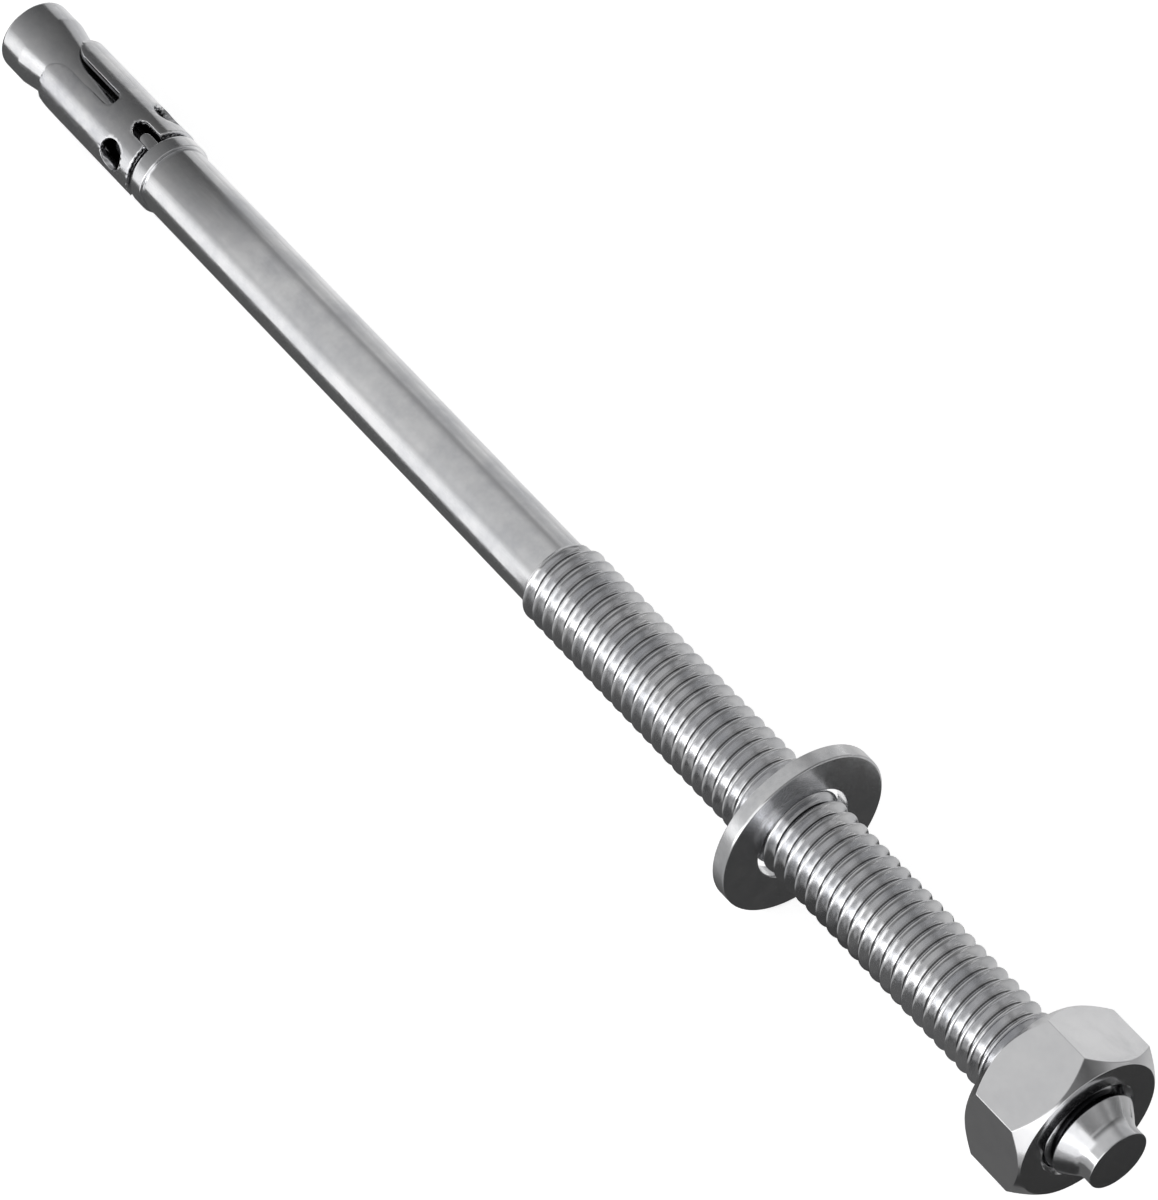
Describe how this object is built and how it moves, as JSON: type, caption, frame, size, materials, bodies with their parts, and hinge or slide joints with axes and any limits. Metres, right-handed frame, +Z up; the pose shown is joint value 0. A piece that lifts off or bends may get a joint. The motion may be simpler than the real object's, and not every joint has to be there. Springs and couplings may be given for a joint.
{
  "type": "wedge anchor",
  "caption": "Torque-set wedge anchor: threaded stud with a cone and an expansion clip at its blind end, and a washer and hex nut at its outer end.",
  "frame": {"origin": "on the stud's axis, in the plane of the washer's face that bears on the fixture", "axes": "+X along the stud, out of the wall towards the nut; -X into the drilled hole; +Z up, with a corner of the nut straight up"},
  "size_m": [0.112, 0.0118, 0.0118],
  "materials": {
    "zinc_plated_stud": "bright zinc plate over cold-formed steel, with a turned lengthwise grain",
    "zinc_plated_clip": "bright zinc plate over rolled sheet, slightly duller than the stud",
    "zinc_plated_washer": "zinc plate over punched sheet",
    "zinc_plated_nut": "zinc plate over cold-formed steel"
  },
  "bodies": {
    "stud": {"anchor_bolt": "zinc_plated_stud"},
    "clip": {"expansion_clip": "zinc_plated_clip"},
    "washer": {"washer": "zinc_plated_washer"},
    "nut": {"hex_nut": "zinc_plated_nut"}
  },
  "joints": [
    {"name": "washer_turn", "type": "hinge", "parent": "stud", "child": "washer", "pos_m": [0, 0, 0], "axis": [-1, 0, 0], "range_deg": [-1800, 7632]},
    {"name": "nut_travel", "type": "slide", "parent": "washer", "child": "nut", "axis": [-1, 0, 0], "range_m": [-0.005, 0.0212]},
    {"name": "clip_slide", "type": "slide", "parent": "stud", "child": "clip", "axis": [-1, 0, 0], "range_m": [-0.00025, 0.0006]}
  ],
  "couplings": [
    {"joint": "washer_turn", "follows": "nut_travel", "rad_per_m": 6283.2}
  ]
}
